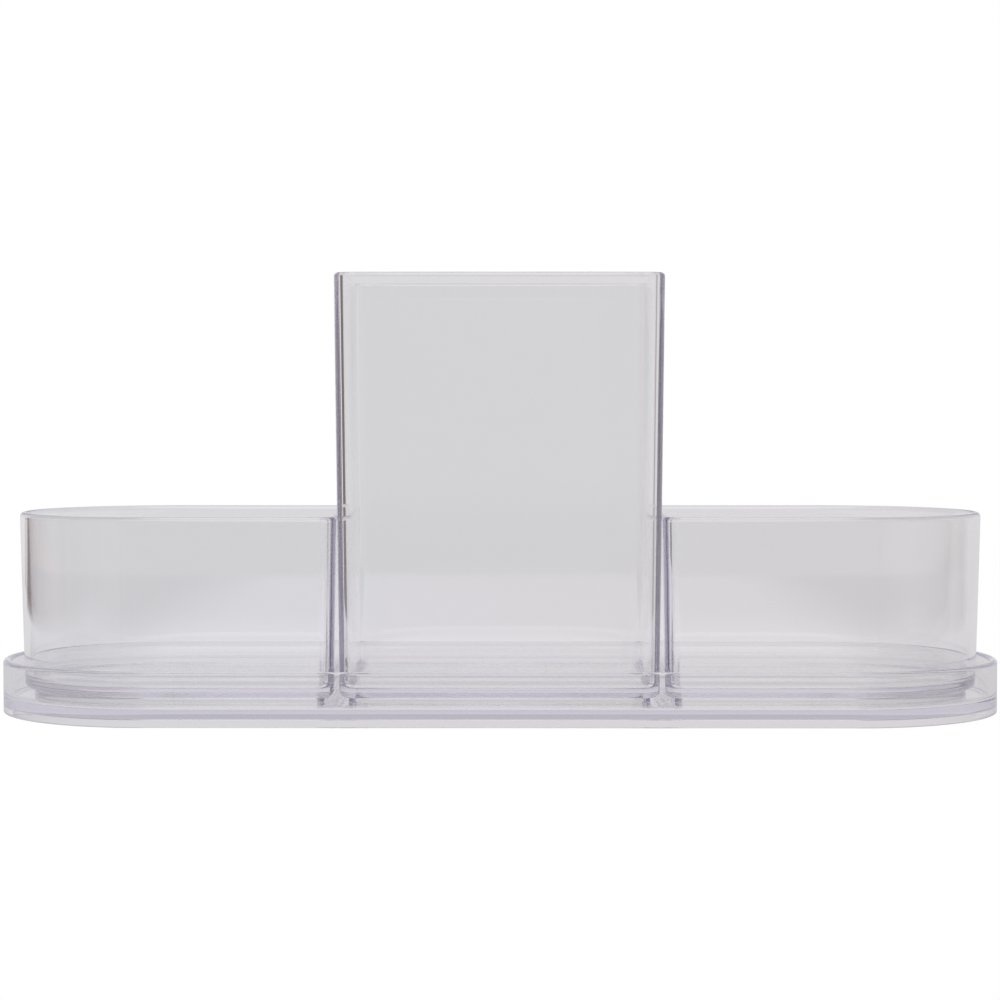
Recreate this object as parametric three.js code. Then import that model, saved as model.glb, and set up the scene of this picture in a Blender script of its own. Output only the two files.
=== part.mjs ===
// A desk organiser of clear moulded plastic. Three loose cups stand in a round-ended tray: a tall
// rectangular one in the middle and a low D-shaped one at each side, its flat wall turned to the middle.
// Millimetres, +Z up. The origin is on the table under the tray's centre, and X runs along the tray.
import * as THREE from "three";

// Driving dimensions. A draft is in degrees from upright, and every cup widens towards its rim.
const TRAY = {
  length: 241,
  depth: 77.5,
  rim: 12.85,
  wall: 2,
  floorUnder: 1.85, // the floor is held off the table by a skirt, which is the wall carried down
  floorTop: 4,
  edgeRound: 0.3,
  cornerRound: 1,
};

const CUP = {
  wall: 2,
  cornerRadius: 4.3,
  floorUnder: 6.2,
  floorTop: 8.4,
  footInset: 2.2, // the foot is a ring under the floor, set in from the wall
  footWidth: 1.3,
  edgeRound: 1.5,
  cornerRound: 1.5,
};

const TALL_CUP = { rim: 104.7, halfWidth: 38.3, halfDepth: 34, draft: 0.62 };

const LOW_CUP = {
  rim: 48.15,
  flatX: 37.85, // the flat wall's outer face at the rim
  endCentreX: 82.2, // the centre line of the round end
  halfDepth: 34.1,
  flatDraft: 1,
  roundDraft: 1.35,
};

const END_STEPS = 24;
const CORNER_STEPS = 4;
const ROUND_STEPS = 3;
const RIM_STEPS = 6;

const CLEAR = { color: 0xdcdbe4, roughness: 0.06, metalness: 0, transparent: true, opacity: 0.45 };

// Points along an arc, its ends included. Angles are in degrees.
function arc(centreX, centreY, radius, from, to, steps) {
  return Array.from({ length: steps + 1 }, (_, i) => {
    const angle = THREE.MathUtils.degToRad(from + ((to - from) * i) / steps);
    return new THREE.Vector2(
      centreX + radius * Math.cos(angle),
      centreY + radius * Math.sin(angle),
    );
  });
}

// How far a drafted wall has come in at height z, measured from its rim.
function drawnIn(rim, z, draft) {
  return (rim - z) * Math.tan(THREE.MathUtils.degToRad(draft));
}

// Plan outlines, anticlockwise. Each gives the points at height z, moved in by inset from the outer face.
function trayOutline(inset) {
  const radius = TRAY.depth / 2 - inset;
  const centreX = (TRAY.length - TRAY.depth) / 2;
  return [
    ...arc(centreX, 0, radius, -90, 90, END_STEPS),
    ...arc(-centreX, 0, radius, 90, 270, END_STEPS),
  ];
}

function tallCupOutline(inset, z) {
  const drawn = drawnIn(TALL_CUP.rim, z, TALL_CUP.draft);
  const centreX = TALL_CUP.halfWidth - drawn - CUP.cornerRadius;
  const centreY = TALL_CUP.halfDepth - drawn - CUP.cornerRadius;
  const radius = CUP.cornerRadius - inset;
  return [
    ...arc(centreX, -centreY, radius, -90, 0, CORNER_STEPS),
    ...arc(centreX, centreY, radius, 0, 90, CORNER_STEPS),
    ...arc(-centreX, centreY, radius, 90, 180, CORNER_STEPS),
    ...arc(-centreX, -centreY, radius, 180, 270, CORNER_STEPS),
  ];
}

function lowCupOutline(inset, z) {
  const halfDepth = LOW_CUP.halfDepth - drawnIn(LOW_CUP.rim, z, LOW_CUP.roundDraft);
  const flatX = LOW_CUP.flatX + drawnIn(LOW_CUP.rim, z, LOW_CUP.flatDraft);
  const cornerX = flatX + CUP.cornerRadius;
  const cornerY = halfDepth - CUP.cornerRadius;
  const radius = CUP.cornerRadius - inset;
  return [
    ...arc(LOW_CUP.endCentreX, 0, halfDepth - inset, -90, 90, END_STEPS),
    ...arc(cornerX, cornerY, radius, 90, 180, CORNER_STEPS),
    ...arc(cornerX, -cornerY, radius, 180, 270, CORNER_STEPS),
  ];
}

// Sections through a wall as (inset, height) points. Each starts under the floor, goes down and out round
// the foot or skirt, up the outside, over the full round of the rim, and down the inside to the floor.
function rimAndInside(piece, rim) {
  const half = piece.wall / 2;
  const round = piece.cornerRound;
  return [
    ...arc(half, rim - half, half, 180, 0, RIM_STEPS),
    ...arc(piece.wall + round, piece.floorTop + round, round, 180, 270, ROUND_STEPS),
  ];
}

function traySection() {
  const round = TRAY.edgeRound;
  return [
    new THREE.Vector2(TRAY.wall, TRAY.floorUnder),
    new THREE.Vector2(TRAY.wall, 0),
    ...arc(round, round, round, 270, 180, ROUND_STEPS),
    ...rimAndInside(TRAY, TRAY.rim),
  ];
}

function cupSection(rim) {
  const round = CUP.edgeRound;
  const footInside = CUP.footInset + CUP.footWidth;
  return [
    new THREE.Vector2(footInside, CUP.floorUnder),
    new THREE.Vector2(footInside, TRAY.floorTop),
    new THREE.Vector2(CUP.footInset, TRAY.floorTop),
    new THREE.Vector2(CUP.footInset, CUP.floorUnder),
    ...arc(round, CUP.floorUnder + round, round, 270, 180, ROUND_STEPS),
    ...rimAndInside(CUP, rim),
  ];
}

// Carries an outline along a section. The extrusion has one step for each section point, and every step is
// then laid on its own ring, so its two flat ends close the shape as the floor's underside and top.
function skinned(outline, section) {
  const rings = section.map((point) => outline(point.x, point.y));
  const steps = rings.length - 1;
  const geometry = new THREE.ExtrudeGeometry(new THREE.Shape(rings[0]), {
    depth: steps,
    steps,
    bevelEnabled: false,
  });
  const keyOf = (x, y) => `${x.toFixed(3)} ${y.toFixed(3)}`;
  const order = new Map(rings[0].map((point, i) => [keyOf(point.x, point.y), i]));
  const position = geometry.getAttribute("position");
  for (let i = 0; i < position.count; i += 1) {
    const step = Math.round(position.getZ(i));
    const point = rings[step][order.get(keyOf(position.getX(i), position.getY(i)))];
    position.setXYZ(i, point.x, point.y, section[step].y);
  }
  geometry.computeVertexNormals();
  return geometry;
}

function clearMesh(name, geometry) {
  const mesh = new THREE.Mesh(geometry, new THREE.MeshStandardMaterial(CLEAR));
  mesh.name = name;
  return mesh;
}

const organiser = new THREE.Group();
const lowCup = skinned(lowCupOutline, cupSection(LOW_CUP.rim));
const leftCup = clearMesh("left_cup", lowCup);
leftCup.scale.x = -1; // the left cup is the right one's mirror image
organiser.add(clearMesh("tray", skinned(trayOutline, traySection())));
organiser.add(clearMesh("tall_cup", skinned(tallCupOutline, cupSection(TALL_CUP.rim))));
organiser.add(clearMesh("right_cup", lowCup));
organiser.add(leftCup);

export default organiser;
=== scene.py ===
"""A clear desk organiser: three moulded plastic cups standing in a round-ended tray.

Every piece is one moulding. Its wall section is drawn once as a chain of points, the corners of the chain
are rounded, and the chain is swept round the piece's plan outline. Metres, +Z up, X along the tray, and
the front is towards -Y.
"""

import logging
import math
from dataclasses import dataclass
from enum import Enum

import bmesh
import bpy
from mathutils import Matrix, Vector


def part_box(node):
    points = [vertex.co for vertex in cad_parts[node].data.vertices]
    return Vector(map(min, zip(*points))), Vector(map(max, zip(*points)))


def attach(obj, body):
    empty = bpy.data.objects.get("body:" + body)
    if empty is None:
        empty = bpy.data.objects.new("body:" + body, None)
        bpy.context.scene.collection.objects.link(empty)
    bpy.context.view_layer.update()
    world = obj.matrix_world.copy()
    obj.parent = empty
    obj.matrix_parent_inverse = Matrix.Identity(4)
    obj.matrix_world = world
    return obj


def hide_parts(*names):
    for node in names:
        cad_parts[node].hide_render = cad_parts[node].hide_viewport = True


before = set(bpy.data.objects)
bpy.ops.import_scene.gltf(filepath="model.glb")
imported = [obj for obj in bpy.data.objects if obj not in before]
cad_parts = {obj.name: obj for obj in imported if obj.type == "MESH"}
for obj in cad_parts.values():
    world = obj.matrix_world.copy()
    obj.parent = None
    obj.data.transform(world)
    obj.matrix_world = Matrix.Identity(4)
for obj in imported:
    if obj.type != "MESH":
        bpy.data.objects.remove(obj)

MM = 0.001
UP = Vector((0, 0, 1))

# Points nearer to each other than this are one point, in a wall section and along a seam.
SECTION_MERGE = 0.002 * MM
SEAM_MERGE = 0.004 * MM
# A short straight step beside a rounded corner keeps the flat wall next to it shaded flat.
GUARD = 0.3 * MM
FLOOR_GUARD = 0.05 * MM
HEIGHT_DIGITS = 7

# How many straight steps go round each kind of corner in a wall section.
INNER_STEPS = 8
RIM_STEPS = 8
EDGE_STEPS = 10
FOOT_STEPS = 5
ROOT_STEPS = 4

# Degrees: a turn through a corner or an end, and the ways to the right and to the back.
QUARTER_TURN = 90
HALF_TURN = 180
TO_RIGHT = 90
TO_BACK = 0

Geometry = list[bmesh.types.BMVert | bmesh.types.BMEdge]
Socket = bpy.types.NodeSocket
Colour = tuple[float, float, float]
Paint = tuple[float, float, float, float]

log = logging.getLogger("organiser")


def opaque(colour: Colour) -> Paint:
    """Gives a colour with full cover."""
    return (*colour, 1.0)


def grey(level: float) -> Paint:
    """Gives a neutral grey with full cover."""
    return (level, level, level, 1.0)


class Hand(Enum):
    """The side of the tall cup that a low cup stands on."""

    LEFT = -1
    RIGHT = 1


@dataclass(frozen=True)
class Corner:
    """One corner of a wall section.

    inset is how far in it lies from the outer face, z is its height, and radius rounds it off in steps.
    A corner without a radius stays sharp and has no steps.
    """

    inset: float
    z: float
    radius: float = 0.0
    steps: int = 0


@dataclass(frozen=True)
class Turn:
    """A stretch of a sweep that turns about an upright line."""

    centre: tuple[float, float]
    degrees: float
    steps: int

    def carry(self, bm: bmesh.types.BMesh, geom: Geometry) -> Geometry:
        """Sweeps the section round the turn.

        Args:
            bm: the piece.
            geom: the section's vertices and edges.

        Returns:
            The last copy of the section.
        """
        swept = bmesh.ops.spin(
            bm, geom=geom, cent=(*self.centre, 0), axis=UP, dvec=(0, 0, 0),
            angle=math.radians(self.degrees), steps=self.steps, use_merge=False, use_duplicate=False,
        )
        return swept["geom_last"]


@dataclass(frozen=True)
class Run:
    """A straight stretch of a sweep, with a short step at each end that keeps the long face flat."""

    along: tuple[float, float]
    margin: float = GUARD

    def carry(self, bm: bmesh.types.BMesh, geom: Geometry) -> Geometry:
        """Sweeps the section along the run.

        Args:
            bm: the piece.
            geom: the section's vertices and edges.

        Returns:
            The last copy of the section.
        """
        whole = Vector((*self.along, 0))
        short = whole.normalized() * self.margin
        for step in (short, whole - 2 * short, short):
            edges = [part for part in geom if isinstance(part, bmesh.types.BMEdge)]
            made = bmesh.ops.extrude_edge_only(bm, edges=edges)["geom"]
            geom = [part for part in made if not isinstance(part, bmesh.types.BMFace)]
            verts = [part for part in geom if isinstance(part, bmesh.types.BMVert)]
            bmesh.ops.translate(bm, vec=step, verts=verts)
        return geom


class Moulding:
    """One moulded piece: a wall section swept round a plan outline, with its floor filled in."""

    node: str
    body: str

    def section(self) -> list[Corner]:
        """Gives the corners of the wall section, from the floor's top round to its underside."""
        raise NotImplementedError

    def start(self) -> tuple[Vector, Vector]:
        """Gives a point of the outer face in plan, and the outward direction there."""
        raise NotImplementedError

    def route(self) -> list[Turn | Run]:
        """Gives the turns and runs that go once round the piece, anticlockwise from the start."""
        raise NotImplementedError

    def draw_in(self, bm: bmesh.types.BMesh) -> None:
        """Gives the walls their draft. A piece with upright walls leaves them."""

    def panel_x(self) -> float:
        """Gives the middle of the piece's front panel along X."""
        return 0.0

    def panel_slope(self) -> float:
        """Gives how fast the sides of the piece's panels thicken downwards."""
        return ClearPlastic.panel_slope

    def _chain(self, bm: bmesh.types.BMesh) -> Geometry:
        """Draws the wall section at the start of the route, its corners rounded.

        Args:
            bm: an empty bmesh.

        Returns:
            The section's vertices and edges.
        """
        point, outward = self.start()
        corners = self.section()
        verts = [bm.verts.new(point - outward * corner.inset + UP * corner.z) for corner in corners]
        for first, second in zip(verts, verts[1:]):
            bm.edges.new((first, second))
        for corner, vert in zip(corners, verts):
            if corner.radius:
                bmesh.ops.bevel(
                    bm, geom=[vert], offset=corner.radius, offset_type="OFFSET", affect="VERTICES",
                    segments=corner.steps, profile=0.5, material=-1,
                )
        bmesh.ops.remove_doubles(bm, verts=bm.verts[:], dist=SECTION_MERGE)
        return bm.verts[:] + bm.edges[:]

    def _fill_floor(self, bm: bmesh.types.BMesh) -> None:
        """Closes the floor's top and underside, each with a narrow rim that keeps its shading flat.

        Args:
            bm: the swept walls, open where the floor belongs.
        """
        open_edges = [edge for edge in bm.edges if edge.is_boundary]
        filled = bmesh.ops.edgeloop_fill(bm, edges=open_edges)["faces"]
        for face in filled:
            bmesh.ops.inset_region(bm, faces=[face], thickness=FLOOR_GUARD, use_even_offset=True)

    def build(self) -> bpy.types.Object:
        """Models the piece.

        Returns:
            The new mesh object, at the origin with its place in its mesh.
        """
        bm = bmesh.new()
        geom = self._chain(bm)
        for stretch in self.route():
            geom = stretch.carry(bm, geom)
        bmesh.ops.remove_doubles(bm, verts=bm.verts[:], dist=SEAM_MERGE)
        self._fill_floor(bm)
        self.draw_in(bm)
        bmesh.ops.recalc_face_normals(bm, faces=bm.faces[:])
        for face in bm.faces:
            face.smooth = True
        mesh = bpy.data.meshes.new(self.node + "_moulding")
        bm.to_mesh(mesh)
        bm.free()
        piece = bpy.data.objects.new(self.node + "_moulding", mesh)
        bpy.context.scene.collection.objects.link(piece)
        return piece

    def dress(self, piece: bpy.types.Object, plastic: bpy.types.Material) -> None:
        """Gives the piece its plastic and puts it on its body in place of the CAD node.

        Args:
            piece: the moulded object.
            plastic: its material.
        """
        piece.data.materials.append(plastic)
        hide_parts(self.node)
        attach(piece, self.body)


@dataclass
class Tray(Moulding):
    """The tray: a stadium in plan, with a low upright rim and a skirt below its floor."""

    node: str = "tray"
    body: str = "tray"
    wall: float = 2.0 * MM
    floor_under: float = 1.85 * MM
    floor_top: float = 4.0 * MM
    floor_ring: float = 2.0 * MM
    inner_round: float = 0.8 * MM
    inner_guard: float = 1.4 * MM
    outer_guard: float = 0.8 * MM
    skirt_round: float = 0.3 * MM
    end_steps: int = 96

    def __post_init__(self) -> None:
        """Reads the tray's size from its CAD node."""
        low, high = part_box(self.node)
        self.rim = high.z
        self.radius = (high.y - low.y) / 2
        self.centre_x = (high.x - low.x) / 2 - self.radius

    def section(self) -> list[Corner]:
        """Gives the tray's section, its floor held off the table by the skirt.

        Returns:
            The corners from the floor's top, over the rim and under the skirt, to the floor's underside.
        """
        half = self.wall / 2
        return [
            Corner(self.wall + self.floor_ring, self.floor_top),
            Corner(self.wall, self.floor_top, self.inner_round, INNER_STEPS),
            Corner(self.wall, self.floor_top + self.inner_guard),
            Corner(self.wall, self.rim - half - GUARD),
            Corner(self.wall, self.rim, half, RIM_STEPS),
            Corner(0, self.rim, half, RIM_STEPS),
            Corner(0, self.rim - half - GUARD),
            Corner(0, self.outer_guard),
            Corner(0, 0, self.skirt_round, FOOT_STEPS),
            Corner(self.wall, 0, self.skirt_round, FOOT_STEPS),
            Corner(self.wall, self.floor_under, self.skirt_round, ROOT_STEPS),
            Corner(self.wall + self.floor_ring, self.floor_under),
        ]

    def start(self) -> tuple[Vector, Vector]:
        """Gives the front end of the right-hand turn."""
        return Vector((self.centre_x, -self.radius, 0)), Vector((0, -1, 0))

    def route(self) -> list[Turn | Run]:
        """Gives the two round ends and the two long sides.

        Returns:
            The stretches, anticlockwise from the front end of the right-hand turn.
        """
        length = 2 * self.centre_x
        return [
            Turn((self.centre_x, 0), HALF_TURN, self.end_steps),
            Run((-length, 0)),
            Turn((-self.centre_x, 0), HALF_TURN, self.end_steps),
            Run((length, 0)),
        ]

    def panel_slope(self) -> float:
        """Leaves the low rim of even thickness."""
        return 0.0


@dataclass
class Cup(Moulding):
    """What the cups share: the section of their walls, floor and foot ring."""

    node: str
    body: str
    wall: float = 2.0 * MM
    corner_radius: float = 4.3 * MM
    corner_steps: int = 16
    floor_under: float = 6.2 * MM
    floor_top: float = 8.4 * MM
    foot_inset: float = 2.2 * MM
    foot_width: float = 1.2 * MM
    foot_clearance: float = 0.03 * MM
    foot_round: float = 0.35 * MM
    foot_root: float = 0.25 * MM
    edge_round: float = 1.5 * MM
    edge_guard: float = 0.4 * MM
    floor_ring: float = 1.5 * MM
    inner_round: float = 1.2 * MM
    inner_guard: float = 2.0 * MM

    def __post_init__(self) -> None:
        """Reads the cup's size from its CAD node."""
        self.low, self.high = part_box(self.node)
        self.rim = self.high.z

    def section(self) -> list[Corner]:
        """Gives the cup's section, with a full round on the rim and a foot ring under the floor.

        Returns:
            The corners from the floor's top, over the rim and round the foot, to the floor's underside.
        """
        half = self.wall / 2
        foot = self.low.z + self.foot_clearance
        foot_inside = self.foot_inset + self.foot_width
        return [
            Corner(self.wall + self.floor_ring, self.floor_top),
            Corner(self.wall, self.floor_top, self.inner_round, INNER_STEPS),
            Corner(self.wall, self.floor_top + self.inner_guard),
            Corner(self.wall, self.rim - half - GUARD),
            Corner(self.wall, self.rim, half, RIM_STEPS),
            Corner(0, self.rim, half, RIM_STEPS),
            Corner(0, self.rim - half - GUARD),
            Corner(0, self.floor_under + self.edge_round + self.edge_guard),
            Corner(0, self.floor_under, self.edge_round, EDGE_STEPS),
            Corner(self.foot_inset, self.floor_under, self.foot_root, ROOT_STEPS),
            Corner(self.foot_inset, foot, self.foot_round, FOOT_STEPS),
            Corner(foot_inside, foot, self.foot_round, FOOT_STEPS),
            Corner(foot_inside, self.floor_under),
        ]

    def _levels(self, bm: bmesh.types.BMesh) -> dict[float, list[bmesh.types.BMVert]]:
        """Groups the vertices by their height.

        Args:
            bm: the piece.

        Returns:
            The vertices of each height, under that height in metres.
        """
        levels: dict[float, list[bmesh.types.BMVert]] = {}
        for vert in bm.verts:
            levels.setdefault(round(vert.co.z, HEIGHT_DIGITS), []).append(vert)
        return levels

    def _squeeze(
        self,
        bm: bmesh.types.BMesh,
        verts: list[bmesh.types.BMVert],
        centre: Vector,
        scale: tuple[float, float],
    ) -> None:
        """Scales vertices in plan about a centre.

        Args:
            bm: the piece.
            verts: the vertices to move.
            centre: the point that stays.
            scale: the factors along X and Y.
        """
        bmesh.ops.scale(bm, vec=(*scale, 1), space=Matrix.Translation(-centre), verts=verts)


@dataclass
class TallCup(Cup):
    """The tall rectangular cup in the middle."""

    node: str = "tall_cup"
    body: str = "tall_cup"
    draft: float = 0.62

    def __post_init__(self) -> None:
        """Reads the cup's size and finds its corner centres."""
        super().__post_init__()
        self.half_width = (self.high.x - self.low.x) / 2
        self.half_depth = (self.high.y - self.low.y) / 2
        self.corner_x = self.half_width - self.corner_radius
        self.corner_y = self.half_depth - self.corner_radius

    def start(self) -> tuple[Vector, Vector]:
        """Gives the right end of the front wall."""
        return Vector((self.corner_x, -self.half_depth, 0)), Vector((0, -1, 0))

    def route(self) -> list[Turn | Run]:
        """Gives the four corners and the four walls between them.

        Returns:
            The stretches, anticlockwise from the right end of the front wall.
        """
        stretches: list[Turn | Run] = []
        for x, y in ((1, -1), (1, 1), (-1, 1), (-1, -1)):
            stretches.append(Turn((x * self.corner_x, y * self.corner_y), QUARTER_TURN, self.corner_steps))
            wall_run = (0, 2 * self.corner_y * x) if x * y < 0 else (-2 * self.corner_x * x, 0)
            stretches.append(Run(wall_run))
        return stretches

    def draw_in(self, bm: bmesh.types.BMesh) -> None:
        """Brings the walls in towards the floor by the draft.

        Args:
            bm: the piece, its walls upright.
        """
        slope = math.tan(math.radians(self.draft))
        for z, verts in self._levels(bm).items():
            drawn = (self.rim - self.wall / 2 - z) * slope
            factors = (1 - drawn / self.half_width, 1 - drawn / self.half_depth)
            self._squeeze(bm, verts, Vector((0, 0, 0)), factors)


@dataclass
class LowCup(Cup):
    """A low D-shaped cup: a flat wall beside the tall cup and a round end that follows the tray's end."""

    node: str = "right_cup"
    body: str = "right_cup"
    hand: Hand = Hand.RIGHT
    flat_draft: float = 1.0
    round_draft: float = 1.35
    end_steps: int = 96

    def __post_init__(self) -> None:
        """Reads the cup's size and finds the centres of its round end and of its corners."""
        super().__post_init__()
        near, far = sorted((abs(self.low.x), abs(self.high.x)))
        self.half_depth = (self.high.y - self.low.y) / 2
        self.flat_x = near
        self.end_x = far - self.half_depth
        self.corner_x = near + self.corner_radius
        self.corner_y = self.half_depth - self.corner_radius

    def start(self) -> tuple[Vector, Vector]:
        """Gives the front end of the round end."""
        return Vector((self.end_x, -self.half_depth, 0)), Vector((0, -1, 0))

    def route(self) -> list[Turn | Run]:
        """Gives the round end, the two straight sides, the flat wall and its two corners.

        Returns:
            The stretches, anticlockwise from the front end of the round end.
        """
        side = self.end_x - self.corner_x
        return [
            Turn((self.end_x, 0), HALF_TURN, self.end_steps),
            Run((-side, 0)),
            Turn((self.corner_x, self.corner_y), QUARTER_TURN, self.corner_steps),
            Run((0, -2 * self.corner_y)),
            Turn((self.corner_x, -self.corner_y), QUARTER_TURN, self.corner_steps),
            Run((side, 0)),
        ]

    def draw_in(self, bm: bmesh.types.BMesh) -> None:
        """Brings the round walls and the flat wall in by their own drafts, then turns a left cup over.

        Args:
            bm: the piece as a right-hand cup, its walls upright.
        """
        centre = Vector((self.end_x, 0, 0))
        round_slope = math.tan(math.radians(self.round_draft))
        flat_slope = math.tan(math.radians(self.flat_draft))
        for z, verts in self._levels(bm).items():
            below = self.rim - self.wall / 2 - z
            round_factor = 1 - below * round_slope / self.half_depth
            flat_factor = 1 - below * flat_slope / (self.end_x - self.flat_x)
            outer = [vert for vert in verts if vert.co.x > self.end_x]
            inner = [vert for vert in verts if vert.co.x <= self.end_x]
            self._squeeze(bm, outer, centre, (round_factor, round_factor))
            self._squeeze(bm, inner, centre, (flat_factor, round_factor))
        bmesh.ops.scale(bm, vec=(self.hand.value, 1, 1), verts=bm.verts[:])

    def panel_x(self) -> float:
        """Gives the middle of the straight stretch of the front wall."""
        return self.hand.value * (self.flat_x + self.end_x) / 2


@dataclass(frozen=True)
class Bench:
    """Adds nodes to one node tree, each wired from sockets or set to plain values."""

    tree: bpy.types.NodeTree

    def feed(self, socket: Socket, value: Socket | float | Paint) -> None:
        """Wires a socket to another one, or sets it to a value.

        Args:
            socket: the input to feed.
            value: the output to wire it to, or its plain value.
        """
        if isinstance(value, Socket):
            self.tree.links.new(value, socket)
        else:
            socket.default_value = value

    def math(self, operation: str, first: Socket | float, second: Socket | float = 0.0) -> Socket:
        """Works a sum on two numbers.

        Args:
            operation: the math node's operation.
            first: the first number.
            second: the second number, where the operation has one.

        Returns:
            The result.
        """
        node = self.tree.nodes.new("ShaderNodeMath")
        node.operation = operation
        self.feed(node.inputs[0], first)
        self.feed(node.inputs[1], second)
        return node.outputs["Value"]

    def vector(self, operation: str, first: Socket, second: Socket | Colour = (0, 0, 0)) -> Socket:
        """Works a sum on two vectors.

        Args:
            operation: the vector math node's operation.
            first: the first vector.
            second: the second vector, where the operation has one.

        Returns:
            The result: a number from a dot product, and otherwise a vector.
        """
        node = self.tree.nodes.new("ShaderNodeVectorMath")
        node.operation = operation
        self.feed(node.inputs[0], first)
        self.feed(node.inputs[1], second)
        return node.outputs["Value" if operation == "DOT_PRODUCT" else "Vector"]

    def mix(self, share: Socket, first: Socket | Paint, second: Socket | Paint) -> Socket:
        """Mixes two colours.

        Args:
            share: how much of the second colour there is, from 0 to 1.
            first: the first colour.
            second: the second colour.

        Returns:
            The mixed colour.
        """
        node = self.tree.nodes.new("ShaderNodeMix")
        node.data_type = "RGBA"
        colours = [socket for socket in node.inputs if socket.type == "RGBA"]
        self.feed(node.inputs["Factor"], share)
        self.feed(colours[0], first)
        self.feed(colours[1], second)
        return next(socket for socket in node.outputs if socket.type == "RGBA")

    def fade(self, value: Socket, low: float, high: float) -> Socket:
        """Gives a smooth step.

        Args:
            value: the number to follow.
            low: where the step is still 0.
            high: where the step has reached 1.

        Returns:
            The step, from 0 to 1.
        """
        step = self.tree.nodes.new("ShaderNodeMapRange")
        step.interpolation_type = "SMOOTHSTEP"
        self.feed(step.inputs["From Min"], low)
        self.feed(step.inputs["From Max"], high)
        self.feed(step.inputs["Value"], value)
        return step.outputs["Result"]

    def parts(self, place: Socket) -> bpy.types.NodeOutputs:
        """Splits a vector into its X, Y and Z outputs."""
        node = self.tree.nodes.new("ShaderNodeSeparateXYZ")
        self.feed(node.inputs["Vector"], place)
        return node.outputs

    def noise(self, place: Socket, size: float, detail: float) -> Socket:
        """Gives a soft cloudy pattern.

        Args:
            place: the point in metres.
            size: how large the clouds are, in metres.
            detail: how many finer layers lie over them.

        Returns:
            The pattern, about 0 to 1.
        """
        node = self.tree.nodes.new("ShaderNodeTexNoise")
        self.feed(node.inputs["Scale"], 1 / size)
        self.feed(node.inputs["Detail"], detail)
        self.feed(node.inputs["Vector"], place)
        return node.outputs["Fac"]

    def mirrored(self) -> Socket:
        """Gives 1 for light that something has mirrored on its way, and 0 for light that ran through."""
        path = self.tree.nodes.new("ShaderNodeLightPath")
        return self.math("MINIMUM", path.outputs["Glossy Depth"], 1.0)

    def place(self, output: str) -> Socket:
        """Gives an output of Texture Coordinate."""
        return self.tree.nodes.new("ShaderNodeTexCoord").outputs[output]


@dataclass(frozen=True)
class ClearPlastic:
    """Crystal clear moulded styrene, polished, with a lavender cast where light runs far through it.

    A panel of the piece is a hair thicker at the foot of its two sides than in its middle, and the mould
    leaves slow waves in its faces. Handling has dulled the polish here and there. panel_x is the middle of
    the panel.
    """

    name: str
    panel_x: float = 0.0
    refraction: float = 1.58
    polish: float = 0.010
    smudge: float = 0.008
    smudge_size: float = 18.0 * MM
    smudge_detail: float = 4.0
    smudge_fade: tuple[float, float] = (0.50, 0.68)
    cast: Colour = (0.17, 0.05, 0.50)
    cast_density: float = 2.9
    panel_reach: float = 30.0 * MM
    panel_slope: float = 0.006
    panel_most: float = 1.5
    wave_size: float = 14.0 * MM
    wave_detail: float = 1.0
    wave_height: float = 0.0004 * MM

    def _thickness(self, bench: Bench, place: Socket) -> Socket:
        """Gives the wall's extra thickness: the panel's thicker sides, and the mould's waves.

        Args:
            bench: the plastic's nodes.
            place: the point of the piece.

        Returns:
            The extra thickness in metres.
        """
        parts = bench.parts(place)
        aside = bench.math("SUBTRACT", parts["X"], self.panel_x)
        share = bench.math("DIVIDE", aside, self.panel_reach)
        square = bench.math("MULTIPLY", share, share)
        side = bench.math("MINIMUM", bench.math("MULTIPLY", square, square), self.panel_most)
        taper = bench.math("MULTIPLY", parts["Z"], -self.panel_slope)
        clouds = bench.noise(place, self.wave_size, self.wave_detail)
        waves = bench.math("MULTIPLY", clouds, self.wave_height)
        return bench.math("ADD", bench.math("MULTIPLY", side, taper), waves)

    def _dullness(self, bench: Bench, place: Socket) -> Socket:
        """Gives the roughness: the mould's polish, and faint smudges where the piece is handled.

        Args:
            bench: the plastic's nodes.
            place: the point of the piece.

        Returns:
            The roughness.
        """
        clouds = bench.noise(place, self.smudge_size, self.smudge_detail)
        smudges = bench.math("MULTIPLY", bench.fade(clouds, *self.smudge_fade), self.smudge)
        return bench.math("ADD", smudges, self.polish)

    def material(self) -> bpy.types.Material:
        """Builds the plastic's nodes.

        Returns:
            The material.
        """
        made = bpy.data.materials.new(self.name)
        made.use_nodes = True
        nodes = made.node_tree.nodes
        bench = Bench(made.node_tree)
        shader = nodes["Principled BSDF"]
        place = bench.place("Object")
        bench.feed(shader.inputs["Base Color"], grey(1.0))
        bench.feed(shader.inputs["IOR"], self.refraction)
        bench.feed(shader.inputs["Transmission Weight"], 1.0)
        bench.feed(shader.inputs["Roughness"], self._dullness(bench, place))
        bump = nodes.new("ShaderNodeBump")
        bench.feed(bump.inputs["Distance"], 1.0)
        bench.feed(bump.inputs["Height"], self._thickness(bench, place))
        bench.feed(shader.inputs["Normal"], bump.outputs["Normal"])
        absorb = nodes.new("ShaderNodeVolumeAbsorption")
        bench.feed(absorb.inputs["Color"], opaque(self.cast))
        bench.feed(absorb.inputs["Density"], self.cast_density)
        bench.feed(nodes["Material Output"].inputs["Volume"], absorb.outputs["Volume"])
        return made


@dataclass(frozen=True)
class Screen:
    """An upright screen at the side of the studio, in its own shade.

    azimuth is the way to its middle, in degrees from +Y towards +X. reach is its half width in degrees,
    and soft is how far its edges fade. A screen that is only mirrored doesn't show straight through the
    plastic.
    """

    azimuth: float
    reach: float
    soft: float
    shade: Colour
    only_mirrored: bool = False


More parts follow.
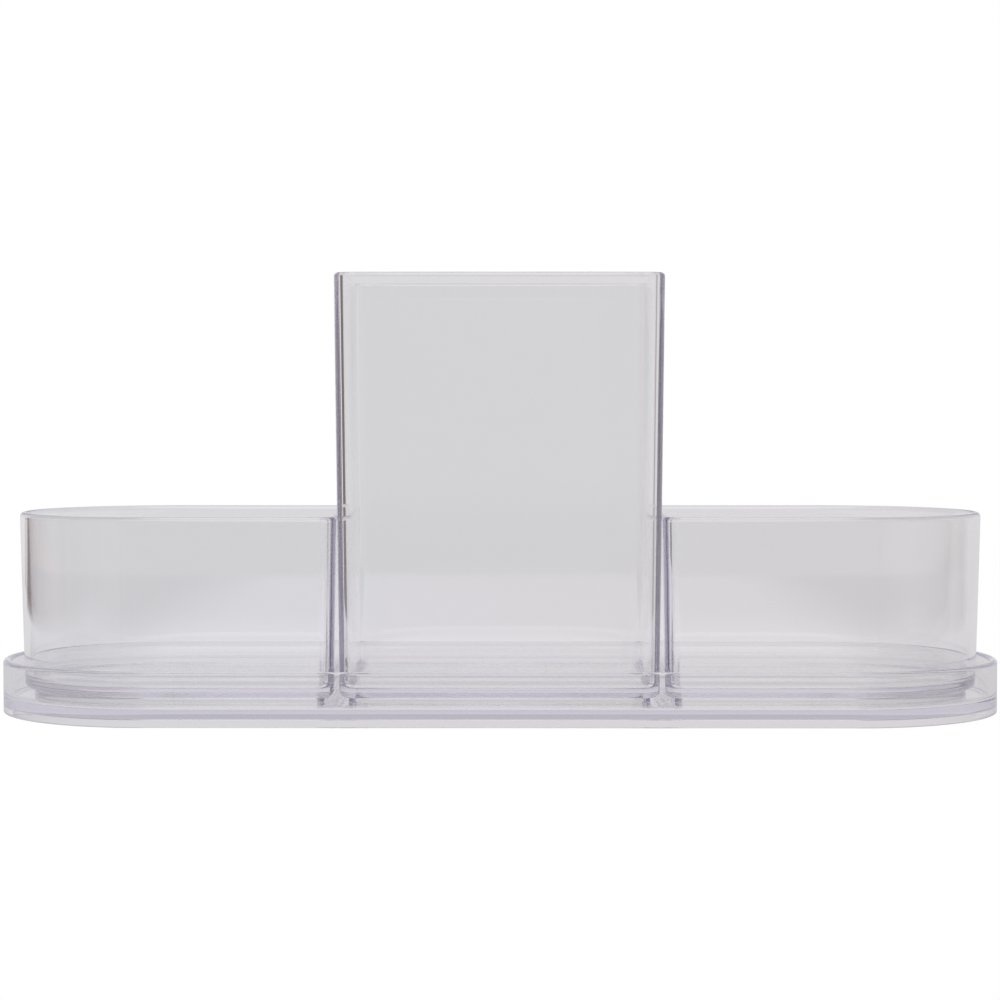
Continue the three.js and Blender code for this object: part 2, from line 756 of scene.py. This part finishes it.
@dataclass(frozen=True)
class Table:
    """The pale table top that the plastic bends and mirrors. Sizes are in metres from the tray's middle.

    Its light turns from left to right, falls off aside and rises at the back. It drops in front too, but
    only where it is mirrored. A pair named for a change says where it starts and where it is whole.
    """

    left: Colour = (0.703, 0.698, 0.724)
    right: Colour = (0.706, 0.688, 0.711)
    rightward: tuple[float, float] = (-0.12, 0.05)
    aside: float = 0.883
    outward: tuple[float, float] = (0.088, 0.14)
    back: float = 1.12
    backward: tuple[float, float] = (0.08, 0.16)
    front: float = 0.35
    forward: tuple[float, float] = (-0.15, -0.25)
    half: tuple[float, float] = (0.33, 0.475)
    edge_soft: float = 0.07

    def reach(self, bench: Bench, place: Socket) -> Socket:
        """Gives how far out a point of the floor lies, 1 being the table's edge.

        Args:
            bench: the floor's nodes.
            place: the point.

        Returns:
            The reach.
        """
        parts = bench.parts(place)
        across = bench.math("DIVIDE", bench.math("ABSOLUTE", parts["X"]), self.half[0])
        along = bench.math("DIVIDE", bench.math("ABSOLUTE", parts["Y"]), self.half[1])
        return bench.math("MAXIMUM", across, along)

    def light(self, bench: Bench, place: Socket) -> Socket:
        """Gives the light of the table top.

        Args:
            bench: the floor's nodes.
            place: the point.

        Returns:
            The light's colour.
        """
        parts = bench.parts(place)
        nearer = bench.math("MULTIPLY", bench.fade(parts["Y"], *self.forward), bench.mirrored())
        top = bench.mix(bench.fade(parts["X"], *self.rightward), opaque(self.left), opaque(self.right))
        changes = (
            (bench.fade(bench.math("ABSOLUTE", parts["X"]), *self.outward), self.aside),
            (bench.fade(parts["Y"], *self.backward), self.back),
            (nearer, self.front),
        )
        for share, level in changes:
            top = bench.vector("MULTIPLY", top, bench.mix(share, grey(1.0), grey(level)))
        return top


@dataclass(frozen=True)
class Walls:
    """The room's walls, grey all round, with screens at the sides.

    The wall in front of the object and two of the screens are dark, but only where they are mirrored.
    """

    behind: float = 0.754
    front: float = 0.20
    backward: tuple[float, float] = (-0.2, 0.7)
    left_tint: Colour = (1.004, 1.0, 1.030)
    right_tint: Colour = (1.016, 1.0, 1.014)
    rightward: tuple[float, float] = (-0.2, 0.2)
    screens: tuple[Screen, ...] = (
        Screen(-36, 10.5, 2, (0.80, 0.765, 0.785)),
        Screen(-74.5, 29, 4, (0.17, 0.14, 0.13), only_mirrored=True),
        Screen(60, 36, 6, (0.705, 0.69, 0.70)),
        Screen(102, 36, 8, (0.40, 0.38, 0.38), only_mirrored=True),
    )

    def _towards(self, bench: Bench, flat: Socket, azimuth: float) -> Socket:
        """Gives how far a level direction points along an azimuth.

        Args:
            bench: the nodes to add to.
            flat: the level direction, of length 1.
            azimuth: in degrees from +Y towards +X.

        Returns:
            The share, from -1 to 1.
        """
        turn = math.radians(azimuth)
        return bench.vector("DOT_PRODUCT", flat, (math.sin(turn), math.cos(turn), 0))

    def light(self, bench: Bench, way: Socket) -> Socket:
        """Gives the light of the walls and screens along a direction, whatever its height.

        Args:
            bench: the nodes to add to.
            way: the direction.

        Returns:
            The light's colour.
        """
        flat = bench.vector("NORMALIZE", bench.vector("MULTIPLY", way, (1, 1, 0)))
        tint = bench.mix(
            bench.fade(self._towards(bench, flat, TO_RIGHT), *self.rightward),
            opaque(tuple(self.behind * part for part in self.left_tint)),
            opaque(tuple(self.behind * part for part in self.right_tint)),
        )
        mirrored = bench.mirrored()
        backward = bench.fade(self._towards(bench, flat, TO_BACK), *self.backward)
        pale = bench.math("MAXIMUM", backward, bench.math("SUBTRACT", 1.0, mirrored))
        light = bench.mix(pale, grey(self.front), tint)
        for screen in self.screens:
            inner = math.cos(math.radians(screen.reach - screen.soft / 2))
            outer = math.cos(math.radians(screen.reach + screen.soft / 2))
            cover = bench.fade(self._towards(bench, flat, screen.azimuth), outer, inner)
            if screen.only_mirrored:
                cover = bench.math("MULTIPLY", cover, mirrored)
            light = bench.mix(cover, light, opaque(screen.shade))
        return light


@dataclass(frozen=True)
class Ceiling:
    """What lies above the walls. Heights are the upward part of a direction, from 0 to 1.

    Above the table's far edge the walls are shaded. The ceiling is a bright strip with dull sides.
    """

    shaded: float = 0.76
    shade_from: tuple[float, float] = (0.113, 0.121)
    bright: float = 0.85
    ceiling_from: tuple[float, float] = (0.3, 0.75)
    dull: float = 0.18
    dull_from: tuple[float, float] = (0.13, 0.21)

    def light(self, bench: Bench, way: Socket, walls: Socket) -> Socket:
        """Gives the light of the room along a direction.

        Args:
            bench: the room's nodes.
            way: the direction.
            walls: the light of the walls along it.

        Returns:
            The light's colour.
        """
        parts = bench.parts(way)
        shade = bench.mix(bench.fade(parts["Z"], *self.shade_from), grey(1.0), grey(self.shaded))
        aside = bench.fade(bench.math("ABSOLUTE", parts["X"]), *self.dull_from)
        ceiling = bench.mix(aside, grey(self.bright), grey(self.dull))
        return bench.mix(
            bench.fade(parts["Z"], *self.ceiling_from), bench.vector("MULTIPLY", walls, shade), ceiling
        )


@dataclass(frozen=True)
class Studio:
    """A white sweep in a softly lit room.

    The floor and the backdrop show plain white to the eye, as a light table does. The floor is a glowing
    surface: what the plastic bends or mirrors of it is painted light, a pale table whose light falls off
    aside, with the walls' light painted past its edge. The rest is the room itself: a grey backdrop,
    darker sides and a bright ceiling.
    """

    table: Table = Table()
    walls: Walls = Walls()
    ceiling: Ceiling = Ceiling()
    floor_half: float = 6.0
    # Painted shade: the walls' light painted on the floor just past the table's edge is dimmed to this
    # share, and is whole again where by_edge_fade ends.
    by_edge: float = 0.965
    by_edge_fade: tuple[float, float] = (1.0, 4.0)
    light_bounces: int = 160

    def _shown(self, bench: Bench, light: Socket) -> Socket:
        """Shows plain white to the eye and the room's own light to everything else.

        Args:
            bench: the nodes to add to.
            light: the room's own light.

        Returns:
            The colour to show.
        """
        path = bench.tree.nodes.new("ShaderNodeLightPath")
        return bench.mix(path.outputs["Is Camera Ray"], light, grey(1.0))

    def _floor_paint(self) -> bpy.types.Material:
        """Paints the table, and past its edge the light of the walls behind it.

        Returns:
            The floor's material.
        """
        paint = bpy.data.materials.new("white_sweep")
        paint.use_nodes = True
        paint.node_tree.nodes.clear()
        bench = Bench(paint.node_tree)
        place = bench.place("Object")
        reach = self.table.reach(bench, place)
        dim = bench.mix(bench.fade(reach, *self.by_edge_fade), grey(self.by_edge), grey(1.0))
        far = bench.vector("MULTIPLY", self.walls.light(bench, place), dim)
        past = bench.fade(reach, 1 - self.table.edge_soft, 1 + self.table.edge_soft)
        light = bench.mix(past, self.table.light(bench, place), far)
        # The floor is no lamp: it glows with the painted light above.
        glow = bench.tree.nodes.new("ShaderNodeEmission")
        out = bench.tree.nodes.new("ShaderNodeOutputMaterial")
        bench.feed(glow.inputs["Color"], self._shown(bench, light))
        bench.feed(out.inputs["Surface"], glow.outputs["Emission"])
        paint.cycles.emission_sampling = "NONE"
        return paint

    def floor(self) -> bpy.types.Object:
        """Lays the white floor.

        Returns:
            The floor.
        """
        bm = bmesh.new()
        bmesh.ops.create_grid(bm, x_segments=1, y_segments=1, size=self.floor_half)
        mesh = bpy.data.meshes.new("white_floor")
        bm.to_mesh(mesh)
        bm.free()
        mesh.materials.append(self._floor_paint())
        plane = bpy.data.objects.new("white_floor", mesh)
        bpy.context.scene.collection.objects.link(plane)
        return plane

    def room(self) -> bpy.types.World:
        """Builds the light of the room.

        Returns:
            The world, set as the scene's.
        """
        world = bpy.data.worlds.new("room")
        world.use_nodes = True
        bench = Bench(world.node_tree)
        way = bench.place("Generated")
        light = self.ceiling.light(bench, way, self.walls.light(bench, way))
        bench.feed(world.node_tree.nodes["Background"].inputs["Color"], self._shown(bench, light))
        world.cycles.sampling_method = "NONE"
        bpy.context.scene.world = world
        return world

    def light_paths(self) -> None:
        """Lets light through many walls in a row, and keeps whites and greys as they are."""
        scene = bpy.context.scene
        scene.cycles.max_bounces = self.light_bounces
        scene.cycles.transmission_bounces = self.light_bounces
        scene.cycles.glossy_bounces = self.light_bounces
        scene.view_settings.view_transform = "Standard"


@dataclass(frozen=True)
class Viewpoint:
    """A long lens just above the low cups' rims, a little left of square on."""

    distance: float = 0.6366
    height: float = 76.84 * MM
    turn: float = 0.25
    dip: float = 2.339
    lens: float = 94.3
    sensor: float = 36.0

    def camera(self) -> bpy.types.Object:
        """Sets up the camera.

        Returns:
            The camera, set as the scene's.
        """
        data = bpy.data.cameras.new("front_view")
        data.lens = self.lens
        data.sensor_width = self.sensor
        eye = bpy.data.objects.new("front_view", data)
        bpy.context.scene.collection.objects.link(eye)
        turn = math.radians(self.turn)
        eye.location = (self.distance * math.sin(turn), -self.distance * math.cos(turn), self.height)
        eye.rotation_euler = (math.radians(QUARTER_TURN - self.dip), 0, turn)
        bpy.context.scene.camera = eye
        return eye


def main() -> None:
    """Builds the studio, then each moulding, and reports them."""
    logging.basicConfig(level=logging.INFO, format="%(name)s: %(message)s")
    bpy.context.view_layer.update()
    Viewpoint().camera()
    studio = Studio()
    studio.floor()
    studio.room()
    studio.light_paths()
    mouldings: list[Moulding] = [
        Tray(),
        TallCup(),
        LowCup(node="right_cup", body="right_cup", hand=Hand.RIGHT),
        LowCup(node="left_cup", body="left_cup", hand=Hand.LEFT),
    ]
    for moulding in mouldings:
        plastic = ClearPlastic(
            "clear_styrene_" + moulding.node,
            panel_x=moulding.panel_x(),
            panel_slope=moulding.panel_slope(),
        )
        piece = moulding.build()
        moulding.dress(piece, plastic.material())
        log.info("%s: %d faces on body %s", piece.name, len(piece.data.polygons), moulding.body)


if __name__ == "__main__":
    main()
